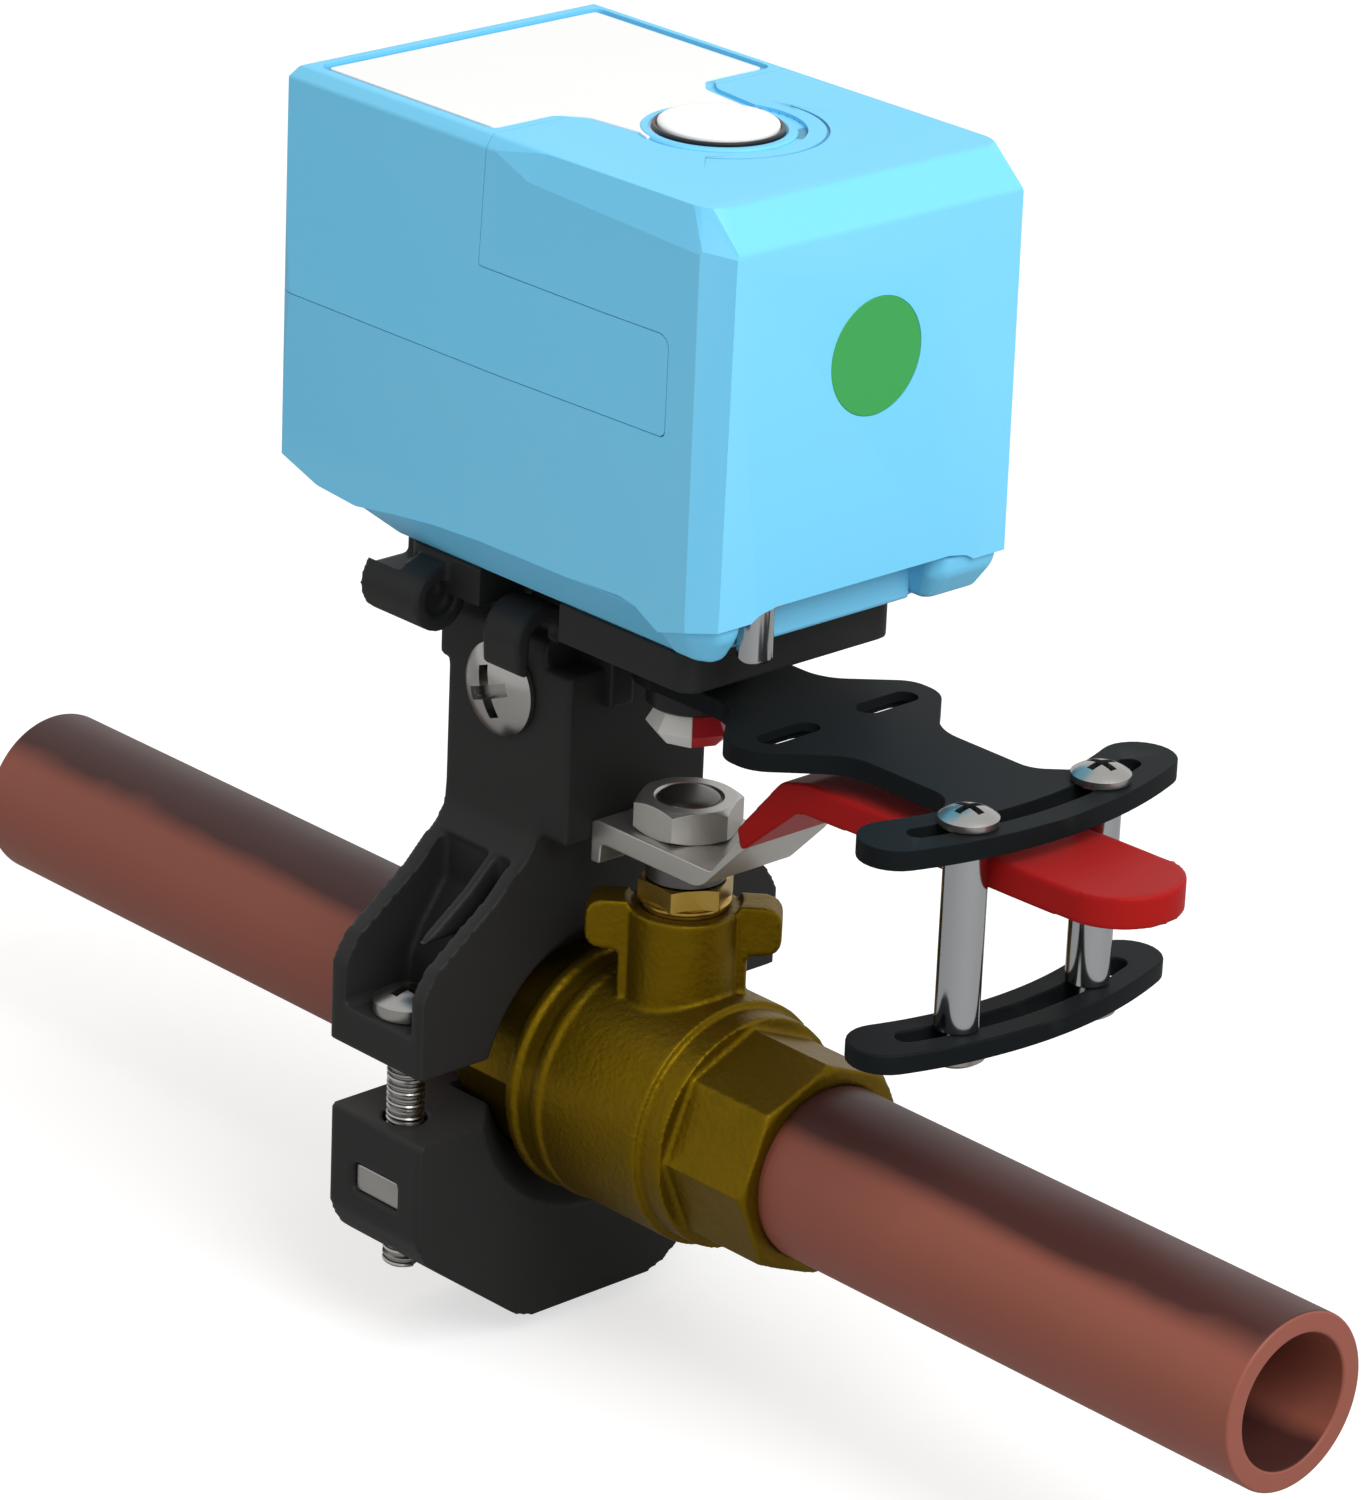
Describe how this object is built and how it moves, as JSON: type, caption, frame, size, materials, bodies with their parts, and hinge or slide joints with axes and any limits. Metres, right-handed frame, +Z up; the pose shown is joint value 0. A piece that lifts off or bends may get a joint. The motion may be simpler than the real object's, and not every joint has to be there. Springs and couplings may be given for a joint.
{
  "type": "smart water valve",
  "caption": "Quarter-turn water valve in a pipe, with a clamped-on motor unit whose arm turns the red handle.",
  "frame": {"origin": "the point where the pipe axis crosses the axis of the valve's stem", "axes": "+X along the pipe towards the outlet end, +Y level and square to the pipe, +Z up along the stem"},
  "size_m": [0.274, 0.0716, 0.1904],
  "materials": {
    "copper_brown": "satin reddish brown pipe finish",
    "olive_brass": "dark cast brass",
    "bright_brass": "turned brass",
    "steel_strip": "plain steel",
    "zinc_screws": "zinc plated steel",
    "ball_chrome": "polished ball",
    "seat_white": "white fluoropolymer seal",
    "stem_steel": "turned steel",
    "grip_red": "dipped red vinyl sleeve",
    "bracket_black": "fine grained black plastic",
    "housing_blue": "smooth sky blue plastic",
    "panel_white": "bare white panel",
    "badge_green": "bare green badge",
    "button_white": "white button",
    "trim_black": "black trim",
    "board_green": "circuit board",
    "module_metal": "shield can",
    "motor_steel": "motor can",
    "gear_cream": "moulded gears",
    "bush_bronze": "sintered bronze",
    "arm_black": "black coated steel",
    "post_chrome": "polished posts",
    "hub_black": "black hub",
    "pointer_white": "white pointer half",
    "pointer_red": "red pointer half"
  },
  "bodies": {
    "root": {"inlet_pipe": "copper_brown", "outlet_pipe": "copper_brown", "valve_body": "olive_brass", "valve_end_cap": "olive_brass", "seat_rings": "seat_white", "stem_packing": "seat_white", "gland_nut": "bright_brass", "upper_bracket": "bracket_black", "lower_clamp": "bracket_black", "clamp_bolts": "zinc_screws", "clamp_nuts": "zinc_screws", "bracket_screw": "zinc_screws", "bracket_nut": "zinc_screws", "actuator_base": "bracket_black", "front_housing": "housing_blue", "rear_cover": "housing_blue", "top_panel": "panel_white", "front_badge": "badge_green", "button_ring": "trim_black", "circuit_board": "board_green", "board_posts": "bright_brass", "tact_switch": "trim_black", "radio_module": "module_metal", "gearmotor": "motor_steel", "idler_axle": "stem_steel", "gear_plates": "motor_steel", "shaft_bushes": "bush_bronze", "housing_screws": "zinc_screws", "power_inlet": "trim_black", "pin_guide": "bush_bronze"},
    "valve": {"ball": "ball_chrome", "stem": "stem_steel", "lever_plate": "steel_strip", "lever_grip": "grip_red", "stem_nut": "steel_strip"},
    "arm": {"output_gear": "gear_cream", "output_shaft": "stem_steel", "arm_hub": "hub_black", "arm_plate": "arm_black", "arm_posts": "post_chrome", "arm_screws": "zinc_screws", "lower_bar": "arm_black", "indicator_white": "pointer_white", "indicator_red": "pointer_red"},
    "idler": {"idler_gear": "gear_cream"},
    "pinion": {"drive_pinion": "bright_brass"},
    "button": {"button_cap": "button_white"},
    "release": {"release_pin": "post_chrome"}
  },
  "joints": [
    {"name": "arm_turn", "type": "hinge", "parent": "root", "child": "arm", "pos_m": [0, 0, 0], "axis": [0, 0, 1], "range_deg": [-90, 0]},
    {"name": "valve_turn", "type": "hinge", "parent": "root", "child": "valve", "pos_m": [0, 0, 0], "axis": [0, 0, 1], "range_deg": [-90, 0]},
    {"name": "idler_turn", "type": "hinge", "parent": "root", "child": "idler", "pos_m": [-0.03, 0, 0], "axis": [0, 0, 1], "range_deg": [0, 296]},
    {"name": "pinion_turn", "type": "hinge", "parent": "root", "child": "pinion", "pos_m": [-0.04697, -0.01697, 0], "axis": [0, 0, 1], "range_deg": [-888, 0]},
    {"name": "button_press", "type": "slide", "parent": "root", "child": "button", "axis": [0, 0, -1], "range_m": [0, 0.001], "stiffness_N_per_m": 1500, "springref_m": -0.0003},
    {"name": "release_pull", "type": "slide", "parent": "root", "child": "release", "axis": [0, 0, -1], "range_m": [0, 0.0035], "stiffness_N_per_m": 1500, "springref_m": -0.001}
  ],
  "couplings": [
    {"joint": "valve_turn", "follows": "arm_turn", "ratio": 1},
    {"joint": "idler_turn", "follows": "arm_turn", "ratio": -3.2857},
    {"joint": "pinion_turn", "follows": "arm_turn", "ratio": 9.8571}
  ]
}
